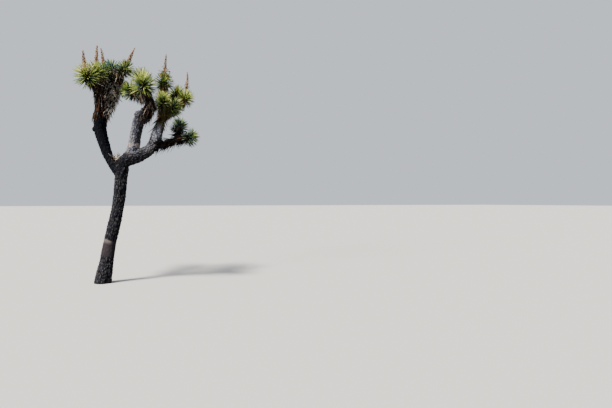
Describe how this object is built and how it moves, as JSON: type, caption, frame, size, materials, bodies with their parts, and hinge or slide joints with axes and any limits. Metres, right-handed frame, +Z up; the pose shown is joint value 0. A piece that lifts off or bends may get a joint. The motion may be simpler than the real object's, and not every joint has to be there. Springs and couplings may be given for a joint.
{
  "type": "joshua tree",
  "caption": "Tree yucca with a leaning corky trunk that forks into stout thatched arms, each ending in heads of stiff dagger leaves, some with a spent flower stalk.",
  "frame": {"origin": "middle of the trunk's flat foot, on the ground", "axes": "+Z up. +Y points away from a viewer who stands in front of the tree, as in the picture, and +X to the viewer's right, the way the trunk leans"},
  "size_m": [2.4064, 2.298, 4.8513],
  "materials": {
    "bark": "rough, deeply cracked grey-brown cork",
    "thatched_bark": "rough, shaggy with hanging dead leaves",
    "leaves": "matte yellow-green to grey-green, stiff"
  },
  "bodies": {
    "root": {"trunk": "bark", "left_bough": "bark", "left_outer_arm": "thatched_bark", "left_inner_arm": "thatched_bark", "rear_left_arm": "thatched_bark", "right_bough": "bark", "middle_arm": "thatched_bark", "middle_upper_arm": "thatched_bark", "right_upper_arm": "thatched_bark", "rear_right_arm": "thatched_bark", "right_low_arm": "thatched_bark", "left_front_head": "leaves", "left_top_head": "leaves", "left_back_head": "leaves", "inner_back_head": "leaves", "inner_top_head": "leaves", "inner_low_head": "leaves", "rear_left_top_head": "leaves", "rear_left_low_head": "leaves", "middle_front_head": "leaves", "middle_left_head": "leaves", "middle_rear_head": "leaves", "right_tall_head": "leaves", "right_front_head": "leaves", "right_hanging_head": "leaves", "right_outer_head": "leaves", "right_rear_head": "leaves", "rear_right_top_head": "leaves", "rear_right_low_head": "leaves", "low_upright_head": "leaves", "low_outer_head": "leaves"}
  },
  "joints": []
}
